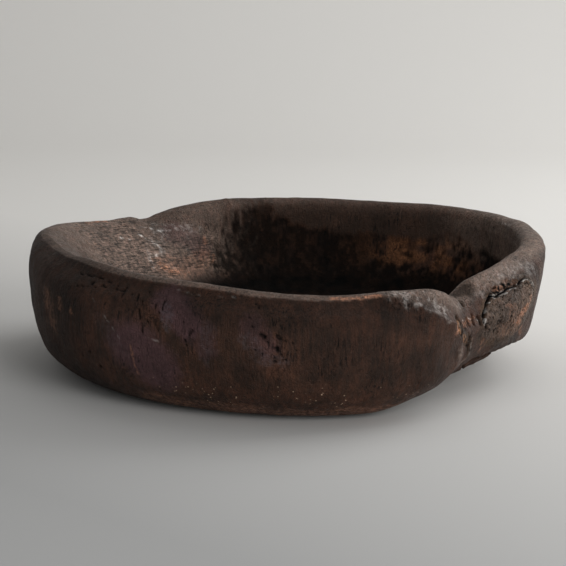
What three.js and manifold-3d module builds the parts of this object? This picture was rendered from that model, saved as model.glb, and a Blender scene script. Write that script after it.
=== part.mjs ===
// Dug-out wooden bowl: a heavy round trencher hewn from one length of log.
// Its right end takes in the crotch of a branch. The front wall stops there in a rounded lobe,
// the rim falls into a cleft beside it, and below the cleft a strip of bark is grown in. Past
// that the wall holds the dead end of the branch, a knot with an open crack along its top.
//
// Units are millimetres and +Z is up. The origin is on the underside, at the middle of the foot.
// A bearing is an angle round the bowl in degrees: 0 is the right end, 90 the back, 180 the left
// end and 270 the front. A reach is a distance out from the upright axis through the origin.
import * as THREE from "three";
import { mergeVertices } from "three/addons/utils/BufferGeometryUtils.js";
import Module from "manifold-3d";

const OILED_WOOD = { color: 0x3a2c24, roughness: 0.62, metalness: 0 };
const DEAD_WOOD = { color: 0x45352b, roughness: 0.85, metalness: 0 };
const BARK = { color: 0x241b17, roughness: 0.95, metalness: 0 };

// The bowl is out of round. Its offsets, taken off at each bearing, are [reach, height] of the
// crest and of the rim's outer shoulder, and the reach of the wall below. Each reach is given as
// what it has past the mean reach, and heights are from the table up.
const MEAN_REACH = 290;
const OFFSETS = [
  { bearing: 0, crest: [-1, 153], shoulder: [17, 146], wall: 9 },
  { bearing: 14, crest: [10, 158], shoulder: [27, 153], wall: 18 },
  { bearing: 28, crest: [20, 161], shoulder: [34, 157], wall: 23 },
  { bearing: 42, crest: [21, 160], shoulder: [33, 155], wall: 22 },
  { bearing: 58, crest: [10, 160], shoulder: [19, 155], wall: 14 },
  { bearing: 80, crest: [1, 159], shoulder: [10, 154], wall: 9 },
  { bearing: 104, crest: [-2, 157], shoulder: [8, 152], wall: 8 },
  { bearing: 116, crest: [-1, 151], shoulder: [10, 146], wall: 10 },
  { bearing: 120, crest: [0, 147], shoulder: [11, 142], wall: 11 },
  { bearing: 126, crest: [3, 139], shoulder: [14, 134], wall: 13 },
  { bearing: 138, crest: [7, 140], shoulder: [18, 135], wall: 15 },
  { bearing: 152, crest: [8, 147], shoulder: [20, 142], wall: 15 },
  { bearing: 168, crest: [0, 152], shoulder: [13, 146], wall: 10 },
  { bearing: 182, crest: [-18, 151], shoulder: [-1, 143], wall: 5 },
  { bearing: 196, crest: [-33, 148], shoulder: [-12, 142], wall: 4 },
  { bearing: 214, crest: [-38, 151], shoulder: [-25, 140], wall: 0 },
  { bearing: 232, crest: [-34, 150], shoulder: [-22, 138], wall: -3 },
  { bearing: 248, crest: [-30, 150], shoulder: [-18, 138], wall: -2 },
  { bearing: 259, crest: [-24, 147], shoulder: [-12, 135], wall: 1 },
  { bearing: 268, crest: [-20, 144], shoulder: [-8, 132], wall: 4 },
  { bearing: 281, crest: [-15, 143], shoulder: [-3, 131], wall: 8 },
  { bearing: 292, crest: [-9, 146], shoulder: [3, 133], wall: 11 },
  { bearing: 301, crest: [0, 148], shoulder: [10, 130], wall: 12 },
  { bearing: 306, crest: [0, 143], shoulder: [8, 119], wall: 9 },
  { bearing: 311, crest: [-11, 131], shoulder: [1, 107], wall: 2 },
  { bearing: 316, crest: [-32, 121], shoulder: [-13, 98], wall: -11 },
  { bearing: 321, crest: [-48, 124], shoulder: [-26, 95], wall: -24 },
  { bearing: 328, crest: [-46, 134], shoulder: [-28, 100], wall: -25 },
  { bearing: 338, crest: [-33, 142], shoulder: [-16, 113], wall: -12 },
  { bearing: 349, crest: [-22, 147], shoulder: [-1, 131], wall: 0 },
];

// Outside wall: from the shoulder it rounds over a neck, then falls to the belly and turns in.
const NECK_DROP = 12;
const NECK_OUT = 5;
const BELLY_HEIGHT = 78;
const TURN_IN = 15;
const TURN_HEIGHT = 30;
const HEEL_IN = 44;
const HEEL_HEIGHT = 7;
const FOOT_IN = 76;

// Inside: from the crest over a rounded lip, down a steep wall to a cove and a flat floor.
const LIP_IN = 11;
const LIP_DROP = 5;
const INNER_IN = 8;
const INNER_HEIGHT = 104;
const HOLLOW_IN = 24;
const HOLLOW_HEIGHT = 66;
const COVE_IN = 50;
const COVE_RISE = 10;
const FLOOR_IN = 84;
const FLOOR_THICKNESS = 34;
// The foot and the hollow's lower part keep an easier line than the rim: they follow it as
// evened out over this many degrees to either side.
const EASE = 15;

// A feature has its full effect within hold of its bearing and fades out over the next degrees.
// The left end's inside is a long easy slope in place of the steep wall.
const SLOPE = {
  bearing: 162,
  hold: 28,
  fade: 32,
  lipIn: 12,
  lipDrop: 5,
  innerIn: 26,
  hollowIn: 44,
  coveIn: 52,
  floorIn: 52,
};
// The right end's underside sweeps up from the foot to a hard lower edge.
const SWEEP = {
  bearing: 344,
  hold: 22,
  fade: 32,
  turnOut: 8,
  turnLift: 24,
  heelIn: 12,
  heelLift: 14,
  footIn: 32,
};

// A knot and a bark strip are let into the outside wall. Seen square on, each is an oval, given
// by half its width and half its height and turned by turn degrees. It tapers to its inner end,
// which lies its depth in from the belly at its bearing, and it faces out by faces and tilt.
const KNOT = {
  bearing: 338,
  height: 89,
  faces: 329,
  tilt: 4,
  turn: 14,
  halfWidth: 50,
  halfHeight: 31,
  depth: 25,
  taper: 0.2,
  proud: 2,
};
const STRIP = {
  bearing: 321,
  height: 74,
  faces: 322,
  tilt: 0,
  turn: 84,
  halfWidth: 27,
  halfHeight: 8,
  depth: 15,
  taper: 0.3,
  proud: 1,
};
const SEAT_GAP = 0.3;
const CRACK = { width: 3, angle: 125 };

// Fineness of the faceted surface: degrees between sections, closer round the cleft, and
// points between one station of a section and the next.
const SECTION_STEP = 5;
const CLEFT_STRETCH = { from: 290, to: 350, step: 2 };
const STATION_STEPS = [3, 3, 4, 3, 2, 2, 2, 3, 3, 3, 3];
const OVAL_POINTS = 32;
const CUT_OVERRUN = 30;

const rad = THREE.MathUtils.degToRad;
const smooth = THREE.MathUtils.smoothstep;

// How much of a feature is felt at a bearing: 1 inside its hold, 0 past its fade.
function share(bearing, feature) {
  const away = Math.abs(((bearing - feature.bearing + 540) % 360) - 180);
  return 1 - smooth(away, feature.hold, feature.hold + feature.fade);
}

// A closed smooth curve through one value of each row of OFFSETS, with no overshoot.
function offsetCurve(valueOf) {
  const count = OFFSETS.length;
  const row = (i) => OFFSETS[((i % count) + count) % count];
  const at = (i) => row(i).bearing + 360 * Math.floor(i / count);
  const value = (i) => valueOf(row(i));
  const rise = (i) => (value(i + 1) - value(i)) / (at(i + 1) - at(i));
  const slope = (i) => {
    const before = rise(i - 1);
    const after = rise(i);
    return before * after > 0 ? (2 * before * after) / (before + after) : 0;
  };
  return (bearing) => {
    const turned = THREE.MathUtils.euclideanModulo(bearing, 360);
    let i = 0;
    while (at(i + 1) <= turned) i += 1;
    const gap = at(i + 1) - at(i);
    const t = (turned - at(i)) / gap;
    const ease = t * t * (3 - 2 * t);
    const leave = t * (1 - t) * (1 - t) * gap * slope(i);
    const arrive = t * t * (t - 1) * gap * slope(i + 1);
    return value(i) + (value(i + 1) - value(i)) * ease + leave + arrive;
  };
}

const crestReach = offsetCurve((row) => MEAN_REACH + row.crest[0]);
const crestHeight = offsetCurve((row) => row.crest[1]);
const shoulderReach = offsetCurve((row) => MEAN_REACH + row.shoulder[0]);
const shoulderHeight = offsetCurve((row) => row.shoulder[1]);
const wallReach = offsetCurve((row) => MEAN_REACH + row.wall);

// A curve round the bowl, evened out at a bearing.
function eased(curve, bearing) {
  return (curve(bearing - EASE) + 2 * curve(bearing) + curve(bearing + EASE)) / 4;
}

// The section of the wall at a bearing: stations from the foot over the rim to the floor.
function section(bearing) {
  const slope = share(bearing, SLOPE);
  const sweep = share(bearing, SWEEP);
  const crest = crestReach(bearing);
  const top = crestHeight(bearing);
  const shoulder = shoulderReach(bearing);
  const brow = shoulderHeight(bearing);
  const wall = wallReach(bearing);
  const lip = crest - LIP_IN - slope * SLOPE.lipIn;
  const inner = lip - INNER_IN - slope * SLOPE.innerIn;
  const easyLip = eased(crestReach, bearing) - LIP_IN - slope * SLOPE.lipIn;
  const hollow = easyLip - HOLLOW_IN - slope * SLOPE.hollowIn;
  const cove = easyLip - COVE_IN - slope * SLOPE.coveIn;
  const floor = easyLip - FLOOR_IN - slope * SLOPE.floorIn;
  const easyWall = eased(wallReach, bearing);
  return [
    [easyWall - FOOT_IN - sweep * SWEEP.footIn, 0],
    [easyWall - HEEL_IN - sweep * SWEEP.heelIn, HEEL_HEIGHT + sweep * SWEEP.heelLift],
    [wall - TURN_IN + sweep * SWEEP.turnOut, TURN_HEIGHT + sweep * SWEEP.turnLift],
    [wall, BELLY_HEIGHT],
    [(shoulder + wall) / 2 + NECK_OUT, brow - NECK_DROP],
    [shoulder, brow],
    [crest, top],
    [lip, top - LIP_DROP - slope * SLOPE.lipDrop],
    [inner, INNER_HEIGHT],
    [hollow, HOLLOW_HEIGHT],
    [cove, FLOOR_THICKNESS + COVE_RISE],
    [floor, FLOOR_THICKNESS],
  ].map(([reach, height]) => new THREE.Vector3(reach, 0, height));
}

// The section's stations joined by a smooth curve, cut into points.
function sectionPoints(bearing) {
  const stations = section(bearing);
  const curve = new THREE.CatmullRomCurve3(stations, false, "centripetal");
  const spans = stations.length - 1;
  const points = [];
  STATION_STEPS.forEach((steps, span) => {
    for (let step = 0; step < steps; step += 1) {
      points.push(curve.getPoint((span + step / steps) / spans));
    }
  });
  points.push(stations[spans]);
  return points;
}

// The bearings at which sections are taken.
function sectionBearings() {
  const bearings = [];
  let bearing = 0;
  while (bearing < 360) {
    bearings.push(bearing);
    const close = bearing >= CLEFT_STRETCH.from && bearing < CLEFT_STRETCH.to;
    bearing += close ? CLEFT_STRETCH.step : SECTION_STEP;
  }
  return bearings;
}

// The wood before anything is let into it: sections swept round the axis, closed by the flat
// underside of the foot and the flat floor of the hollow.
function woodGeometry() {
  const bearings = sectionBearings();
  const positions = [0, 0, 0, 0, 0, FLOOR_THICKNESS];
  const indices = [];
  const [under, floor] = [0, 1];
  const columns = bearings.length;
  let rows = 0;
  for (const bearing of bearings) {
    const points = sectionPoints(bearing);
    rows = points.length;
    for (const point of points) {
      positions.push(point.x * Math.cos(rad(bearing)), point.x * Math.sin(rad(bearing)), point.z);
    }
  }
  const vertex = (column, row) => 2 + (column % columns) * rows + row;
  for (let column = 0; column < columns; column += 1) {
    indices.push(under, vertex(column + 1, 0), vertex(column, 0));
    indices.push(floor, vertex(column, rows - 1), vertex(column + 1, rows - 1));
    for (let row = 0; row < rows - 1; row += 1) {
      const [a, b] = [vertex(column, row), vertex(column + 1, row)];
      const [c, d] = [vertex(column + 1, row + 1), vertex(column, row + 1)];
      indices.push(a, b, c, a, c, d);
    }
  }
  const geometry = new THREE.BufferGeometry();
  geometry.setAttribute("position", new THREE.Float32BufferAttribute(positions, 3));
  geometry.setIndex(indices);
  return geometry;
}

// The direction in which an inlay faces.
function outward(inlay) {
  const level = Math.cos(rad(inlay.tilt));
  const x = level * Math.cos(rad(inlay.faces));
  const y = level * Math.sin(rad(inlay.faces));
  return new THREE.Vector3(x, y, Math.sin(rad(inlay.tilt)));
}

// A tapered oval plug on an inlay's axis, from its inner end to well outside the wall.
// spare(angle) is how far it stands off the inlay there, counted from its long way round.
function plugGeometry(inlay, depth, spare) {
  const outline = [];
  for (let i = 0; i < OVAL_POINTS; i += 1) {
    const angle = (2 * Math.PI * i) / OVAL_POINTS;
    const across = (inlay.halfWidth + spare(angle)) * Math.cos(angle);
    const up = (inlay.halfHeight + spare(angle)) * Math.sin(angle);
    outline.push(new THREE.Vector2(across, up));
  }
  const length = depth + CUT_OVERRUN;
  const shape = new THREE.Shape(outline);
  const geometry = new THREE.ExtrudeGeometry(shape, { depth: length, bevelEnabled: false });
  geometry.translate(0, 0, -depth);
  const position = geometry.getAttribute("position");
  for (let i = 0; i < position.count; i += 1) {
    const scale = 1 + (inlay.taper * position.getZ(i)) / inlay.depth;
    position.setXY(i, position.getX(i) * scale, position.getY(i) * scale);
  }
  const axis = outward(inlay);
  const side = new THREE.Vector3(0, 0, 1).cross(axis).normalize();
  const up = axis.clone().cross(side);
  const place = new THREE.Matrix4().makeBasis(side, up, axis);
  const reach = wallReach(inlay.bearing);
  place.setPosition(
    reach * Math.cos(rad(inlay.bearing)),
    reach * Math.sin(rad(inlay.bearing)),
    inlay.height,
  );
  geometry.rotateZ(rad(inlay.turn));
  return geometry.applyMatrix4(place);
}

const wasm = await Module();
wasm.setup();

function toSolid(source) {
  const geometry = source.clone();
  geometry.deleteAttribute("normal");
  geometry.deleteAttribute("uv");
  const merged = mergeVertices(geometry, 1e-4);
  const vertProperties = new Float32Array(merged.getAttribute("position").array);
  const triVerts = new Uint32Array(merged.getIndex().array);
  return new wasm.Manifold(new wasm.Mesh({ numProp: 3, vertProperties, triVerts }));
}

function toGeometry(solid) {
  const mesh = solid.getMesh();
  const geometry = new THREE.BufferGeometry();
  geometry.setAttribute("position", new THREE.BufferAttribute(mesh.vertProperties, 3));
  geometry.setIndex(new THREE.BufferAttribute(mesh.triVerts, 1));
  return geometry;
}

// The pocket for an inlay, and the inlay itself: the wood that the plug takes out, drawn
// out of the pocket a little so that it stands proud.
function pocketFor(inlay, spare) {
  return toSolid(plugGeometry(inlay, inlay.depth + SEAT_GAP, spare));
}

function inlayFrom(wood, inlay) {
  const shift = outward(inlay).multiplyScalar(inlay.proud);
  const drawn = toSolid(wood.clone().translate(shift.x, shift.y, shift.z));
  return drawn.intersect(toSolid(plugGeometry(inlay, inlay.depth, () => 0)));
}

// The crack: the pocket's spare room is widest at the crack's angle round the knot.
function crackSpare(angle) {
  const near = Math.max(0, Math.cos(angle + rad(KNOT.turn) - rad(CRACK.angle)));
  return SEAT_GAP + (CRACK.width - SEAT_GAP) * near * near;
}

const wood = woodGeometry();
const knotPocket = pocketFor(KNOT, crackSpare);
const stripPocket = pocketFor(STRIP, () => SEAT_GAP);
const body = toSolid(wood).subtract(knotPocket).subtract(stripPocket);

const bowl = new THREE.Group();

function addPiece(name, solid, finish) {
  const mesh = new THREE.Mesh(toGeometry(solid), new THREE.MeshStandardMaterial(finish));
  mesh.name = name;
  bowl.add(mesh);
}

addPiece("bowl_body", body, OILED_WOOD);
addPiece("encased_knot", inlayFrom(wood, KNOT), DEAD_WOOD);
addPiece("bark_strip", inlayFrom(wood, STRIP), BARK);

export default bowl;
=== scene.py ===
import math

import bpy
import numpy as np
from mathutils import Matrix, Vector
from mathutils.bvhtree import BVHTree


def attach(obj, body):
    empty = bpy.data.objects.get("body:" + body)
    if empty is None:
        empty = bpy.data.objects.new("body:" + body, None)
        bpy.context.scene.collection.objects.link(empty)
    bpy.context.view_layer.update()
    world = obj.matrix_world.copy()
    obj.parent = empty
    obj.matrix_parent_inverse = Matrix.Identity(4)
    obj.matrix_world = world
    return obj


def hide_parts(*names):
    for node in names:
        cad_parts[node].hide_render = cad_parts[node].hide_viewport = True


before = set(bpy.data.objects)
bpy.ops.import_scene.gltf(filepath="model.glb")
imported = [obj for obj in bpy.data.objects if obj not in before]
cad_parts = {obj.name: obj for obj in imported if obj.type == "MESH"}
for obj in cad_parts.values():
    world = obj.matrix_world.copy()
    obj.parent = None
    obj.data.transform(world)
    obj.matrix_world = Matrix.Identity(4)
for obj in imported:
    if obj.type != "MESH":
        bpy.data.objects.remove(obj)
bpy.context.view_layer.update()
scene = bpy.context.scene
MM = 0.001

# The camera stands low in front of the bowl, as in the photograph.
SENSOR = 36.0
FOCAL_PIXELS = 2100.0
FRAME_PIXELS = 566.0
LOOKS_DOWN = math.radians(11.3)
ROLL = math.radians(0.92)
STANDS = (0.0, -2434.03, 587.81)

lens = bpy.data.cameras.new("camera")
lens.sensor_width = SENSOR
lens.lens = FOCAL_PIXELS / FRAME_PIXELS * SENSOR
camera = bpy.data.objects.new("camera", lens)
ahead = Vector((0, math.cos(LOOKS_DOWN), -math.sin(LOOKS_DOWN)))
level = Vector((1, 0, 0))
upright = level.cross(ahead)
right = level * math.cos(ROLL) + upright * math.sin(ROLL)
top = upright * math.cos(ROLL) - level * math.sin(ROLL)
camera.matrix_world = Matrix.Translation(Vector(STANDS) * MM) @ Matrix(
    (right, top, -ahead)
).transposed().to_4x4()
scene.collection.objects.link(camera)
scene.camera = camera

# Columns by bearing: from, to, degrees between them and degrees that they are evened out over.
# They are closest round the cleft and the knot, and close on the slope and the front wall.
COLUMN_STRETCHES = [(0, 90, 0.6, 3), (90, 160, 0.5, 2.6), (160, 216, 0.87, 2.6),
                    (216, 297, 0.36, 2.2), (297, 353, 0.33, 1.15), (353, 360, 0.87, 2)]
# Rows from the middle of the floor: over the floor, up the inside, down the outside and under
# the foot.
ROWS = {"floor": 18, "inside": 96, "outside": 104, "foot": 7}
# How often the surface is evened round the bowl and down its rows, and the rows' ends.
EVENING_PASSES = 76
DOWN_PASSES = 5
ROW_END_PASSES = 12
# Each section is found with rays, at degrees from, to and between: in from FAR off to a heart,
# HEART_IN from the wall's outside, and out from a point over the hollow. Joints that are less
# than JOINT_STEPS columns and rays wide are closed. What is within FLAT of level is flat.
FAR = 600
HEART_IN = 60
HEART_HEIGHT = 45
WALL_PROBE_HEIGHT = 78
OUTSIDE_RAYS = (85, -141, -0.9)
OVER_HOLLOW = (80, 260)
INSIDE_RAYS = (-108, -14, 0.4)
JOINT_STEPS = (3, 3)
FLAT = 0.6
# How near the grid comes to the upright axis, on the floor and under the foot.
FLOOR_MIDDLE = 4
FOOT_MIDDLE = 6


def cad_surface():
    """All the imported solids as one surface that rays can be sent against."""
    corners, faces = [], []
    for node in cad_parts.values():
        start = len(corners)
        corners += [node.matrix_world @ v.co for v in node.data.vertices]
        faces += [[start + i for i in face.vertices] for face in node.data.polygons]
    return BVHTree.FromPolygons(corners, faces)


def columns(stretches):
    """The columns' bearings, and how much of each pass evens them."""
    bearings, shares = [], []
    for start, end, step, over in stretches:
        count = max(1, round((end - start) / step))
        bearings += list(start + (end - start) * np.arange(count) / count)
        shares += [2 * (over / step) ** 2 / EVENING_PASSES] * count
    return np.array(bearings), np.array(shares)


def hit(surface, bearing, start, angle, away=0.0):
    """Where a ray in the section at a bearing lands: it starts at (reach, height) or, with away,
    that far off it and looking back. Returns (reach, height) or None."""
    turn = math.radians(bearing)
    out = Vector((math.cos(turn), math.sin(turn), 0))
    line = out * math.cos(angle) + Vector((0, 0, math.sin(angle)))
    eye = (out * start[0] + Vector((0, 0, start[1]))) * MM
    if away:
        landed = surface.ray_cast(eye + line * away * MM, -line)[0]
    else:
        landed = surface.ray_cast(eye, line)[0]
    return None if landed is None else (landed.dot(out) / MM, landed.z / MM)


def widened(values, reach, pick):
    """The largest or smallest value within reach steps of each, both ways."""
    result = values
    for axis, size in enumerate(reach):
        around = [np.roll(result, step, axis) for step in range(-size, size + 1)]
        result = pick(np.stack(around), axis=0)
    return result


def evened(values, passes, axis, closed=False, shares=None):
    """Values evened out along an axis, which closes up on itself or keeps its ends."""
    line = np.moveaxis(values, axis, 0)
    part = 1 if shares is None else shares[:, None]
    for _ in range(passes):
        before, after = np.roll(line, 1, 0), np.roll(line, -1, 0)
        if not closed:
            before[0], after[-1] = line[0], line[-1]
        line = line + part * (before - 2 * line + after) / 4
    return np.moveaxis(line, 0, axis)


def without_facets(values, round_bowl, down_row, closed, shares=None):
    """Values evened out both ways, with what evening takes off the curves put back."""
    once = evened(evened(values, round_bowl, 0, closed, shares), down_row, 1)
    return 2 * once - evened(evened(once, round_bowl, 0, closed, shares), down_row, 1)


def outlines(bearings):
    """The section at each bearing as (reach, height) points, from the middle of the floor over
    the crest to the edge of the foot, with each one's distance along it, and the distances of
    the floor's edge, the crest and the end."""
    surface = cad_surface()
    outward = np.radians(np.arange(*OUTSIDE_RAYS))
    hearts, lengths = [], []
    for bearing in bearings:
        wall = hit(surface, bearing, (0, WALL_PROBE_HEIGHT), 0, away=FAR)[0]
        heart = (wall - HEART_IN, HEART_HEIGHT)
        spots = [hit(surface, bearing, heart, angle, away=FAR) for angle in outward]
        hearts.append(heart)
        lengths.append([math.dist(spot, heart) for spot in spots])
    # The open joints round the knot and the bark are narrow; closing them gives the whole skin.
    lengths = widened(np.array(lengths), JOINT_STEPS, np.max)
    lengths = widened(lengths, JOINT_STEPS, np.min)
    inward = np.radians(np.arange(*INSIDE_RAYS))
    found = []
    for bearing, heart, length in zip(bearings, hearts, lengths):
        seen = [hit(surface, bearing, OVER_HOLLOW, angle) for angle in inward]
        inside = np.array([spot for spot in seen if spot])
        outside = np.stack([np.cos(outward), np.sin(outward)], 1) * length[:, None] + heart
        crest_in, crest_out = inside[:, 1].argmax(), outside[:, 1].argmax()
        foot = crest_out + np.argmax(outside[crest_out:, 1] < FLAT)
        points = np.concatenate([inside[: crest_in + 1], outside[crest_out + 1 : foot + 1]])
        steps = np.hypot(*np.diff(points, axis=0).T)
        distance = np.concatenate([[0], steps.cumsum()])
        floor_edge = np.argmax(inside[:, 1] > inside[0, 1] + FLAT)
        ends = (distance[floor_edge], distance[crest_in], distance[-1])
        found.append((points, distance, ends))
    return found


def whole_surface(bearings, shares):
    """The evened surface as reach, height and distance inside the crest, by column and row."""
    found = outlines(bearings)
    row_ends = evened(np.array([ends for _, _, ends in found]), ROW_END_PASSES, 0, closed=True)
    reach, height, along = [], [], []
    for (points, distance, _), (floor_end, crest, end) in zip(found, row_ends):
        end = min(end, distance[-1])
        places = np.concatenate([
            np.linspace(0, floor_end, ROWS["floor"], endpoint=False),
            np.linspace(floor_end, crest, ROWS["inside"], endpoint=False),
            np.linspace(crest, end, ROWS["outside"], endpoint=False),
            [end],
        ])
        across = np.interp(places, distance, points[:, 0])
        up = np.interp(places, distance, points[:, 1])
        under = np.linspace(across[-1], FOOT_MIDDLE, ROWS["foot"] + 1)[1:]
        reach.append(np.concatenate([across, under]))
        height.append(np.concatenate([up, np.zeros(ROWS["foot"])]))
        along.append(np.concatenate([crest - places, crest - end - across[-1] + under]))
    reach, height, along = (np.array(values) for values in (reach, height, along))
    reach[:, 0] = FLOOR_MIDDLE
    reach = without_facets(reach, EVENING_PASSES, DOWN_PASSES, True, shares)
    height = without_facets(height, EVENING_PASSES, DOWN_PASSES, True, shares)
    return Skin(bearings, reach, height, along)


def grid_normals(points, closed):
    """Outward normals of a grid of points."""
    if closed:
        round_bowl = np.roll(points, -1, 0) - np.roll(points, 1, 0)
    else:
        round_bowl = np.gradient(points, axis=0)
    across = np.cross(np.gradient(points, axis=1), round_bowl)
    return across / np.linalg.norm(across, axis=2, keepdims=True)


# The reach of most of the wall, and of the wall at the knot, for turning degrees into lengths.
WALL_REACH = 250
KNOT_REACH = 275
# How far off the other side of the wall counts as.
OTHER_SIDE = 900
# The grid on the knot and the bark: its step, and how often it is evened.
PATCH_STEP = 0.75
PATCH_PASSES = (6, 8)


class Skin:
    """A grid of points on the bowl's surface, with what hewing and wear are worked out from."""

    def __init__(self, bearings, reach, height, along, closed=True):
        turn = np.radians(bearings)[:, None]
        spots = np.stack([reach * np.cos(turn), reach * np.sin(turn), height], 2)
        self.grids = (bearings, reach, height, along)
        self.closed = closed
        self.shape = reach.shape
        self.spots = spots.reshape(-1, 3)
        self.normals = grid_normals(spots, closed).reshape(-1, 3)
        self.bearing = np.repeat(bearings, reach.shape[1])
        self.height = height.ravel()
        self.along = along.ravel()
        self.inside = self.along > 0
        self.lay = np.stack([*self.spots[:, :2].T, self.along], 1)

    def turn_from(self, bearing):
        """Degrees round the bowl from a bearing, either way."""
        return np.abs((self.bearing - bearing + 180) % 360 - 180)

    def place(self, bearing, height, inside=False):
        """The point of the skin nearest to a bearing and height, on one side of the wall."""
        turned = self.turn_from(bearing) * math.radians(WALL_REACH)
        off = turned + np.abs(self.height - height) + OTHER_SIDE * (self.inside != inside)
        return self.spots[off.argmin()]

    def places(self, pairs, inside=False):
        """The points nearest to (bearing, height) pairs."""
        return np.array([self.place(bearing, height, inside) for bearing, height in pairs])

    def finer(self, bearings, rows):
        """Part of the skin on a finer grid, between two bearings and two rows below the crest."""
        columns, *grids = self.grids
        rows = [ROWS["floor"] + ROWS["inside"] + row for row in rows]
        width = (bearings[1] - bearings[0]) * math.radians(KNOT_REACH)
        length = np.abs(np.diff(grids[2][0, rows[0] : rows[1]])).sum()
        turned = np.linspace(*bearings, round(width / PATCH_STEP))
        lines = np.linspace(*rows, round(length / PATCH_STEP))
        found = []
        for grid in grids:
            across = np.stack([np.interp(lines, np.arange(grid.shape[1]), row) for row in grid])
            both = np.stack([np.interp(turned, columns, line) for line in across.T], 1)
            found.append(without_facets(both, *PATCH_PASSES, closed=False))
        return Skin(turned, *found, closed=False)


LATTICE_SIZE = 64
LATTICE = np.random.default_rng(11).uniform(-1, 1, [LATTICE_SIZE] * 3)
# How far apart two seeds start in the lattice, and what stands in for a length of 0.
SEED_STEP = 7.31
TINY = 1e-9


def noise(spots, size, seed):
    """Smooth random values from -1 to 1 that change over about size, one number or three."""
    scaled = spots / size + seed * SEED_STEP
    cell = np.floor(scaled).astype(int)
    part = scaled - cell
    part = part * part * part * (part * (part * 6 - 15) + 10)
    total = np.zeros(len(spots))
    for corner in range(8):
        step = np.array([corner & 1, (corner >> 1) & 1, corner >> 2])
        key = (cell + step) % LATTICE_SIZE
        weight = np.where(step, part, 1 - part).prod(1)
        total += weight * LATTICE[key[:, 0], key[:, 1], key[:, 2]]
    return total


def ramp(values, low, high):
    """0 below low, 1 above high and smooth between; high may be the lower one."""
    t = np.clip((values - low) / (high - low), 0, 1)
    return t * t * (3 - 2 * t)


def ridge(off, width):
    """The section of a sharp edge put on a rounded one: 1 on its line, 0 from width off it."""
    return np.maximum(0, 1 - off / width) ** 2


def from_spot(spots, centre):
    """Distance of each spot from a point."""
    return np.linalg.norm(spots - centre, axis=1)


def from_stretch(spots, start, end):
    """Distance of each spot from the straight stretch between two points."""
    run = end - start
    t = np.clip((spots - start) @ run / max(run @ run, TINY), 0, 1)
    return np.linalg.norm(spots - start - t[:, None] * run, axis=1)


def from_line(spots, line):
    """Distance of each spot from a line of points."""
    off = np.full(len(spots), np.inf)
    for start, end in zip(line, line[1:]):
        off = np.minimum(off, from_stretch(spots, start, end))
    return off


# Where the marks of growth, tools and use lie, as (bearing, height) on the outside. The crack
# round the knot opens in three runs, each with its half width and its depth.
CRACK = [([(326.6, 90), (327.2, 95), (328.9, 101), (330.2, 106), (331.5, 111), (332.4, 115)],
          1.9, 6),
         ([(332.4, 115), (334, 113), (335.6, 116), (337, 117), (338.9, 120), (341.3, 120)],
          1.3, 4),
         ([(343.2, 122), (344.1, 124), (345.7, 126), (346.6, 123), (346.9, 117)], 1, 3.5)]
KNOT_RIM = [(326.6, 90), (328.9, 101), (332.4, 115), (338.9, 120), (345.7, 126), (349.5, 112),
            (349.5, 96), (347, 80), (341, 68), (334, 62), (329, 66), (326, 76)]
ROTTED_POCKET = [(334.6, 118), (337.2, 122), (339, 124), (340.8, 124), (342.5, 122)]
CHECKS_BY_KNOT = [((323.6, 99), (322.5, 90), 1.9), ((316.3, 98), (314.4, 94), 3.2),
                  ((325.6, 96), (325.4, 88), 1.6), ((320.4, 99), (319.6, 91), 1.4),
                  ((318.3, 97), (317.9, 91), 1.1), ((327.4, 87), (328.4, 82), 1.5)]
BARK_RUN = [(310.3, 107), (311, 100), (312.6, 92), (315, 84), (318.6, 76), (321.4, 69)]
TORN_LINE = [(313.6, 99), (316.5, 98), (320, 96), (323.8, 94)]
BEAD = [(322.1, 75), (322.4, 69), (322.1, 64), (322.4, 57), (321.6, 51), (319.6, 47), (316.6, 46)]
BULGE = (311.7, 70)
SPLIT = [(342.3, 49), (341.5, 45), (335.4, 45), (332.5, 41), (330.9, 37), (330.4, 33),
         (332.3, 26)]
LOWER_EDGE = [(312, 12), (321, 18), (328, 24), (331.5, 30), (333.5, 35), (335.5, 40), (337, 44),
              (339, 48), (341, 49), (347, 50), (352, 50), (358, 53)]
DIMPLE = [(323, 126), (324.7, 128), (326.4, 127)]
NOTCH = [(322.2, 116), (321.9, 111)]
ARRIS = [(291.3, 140), (296.1, 136), (299.5, 128), (302.3, 121), (305, 113), (307.6, 106)]
# The rim's outer edge along the front: how far off the crest it lies, its width and rise, and
# its middle and half run in degrees.
LIP_EDGE = {"off": 9.5, "width": 13, "rise": 1.9, "middle": 246, "half": 62}
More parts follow.
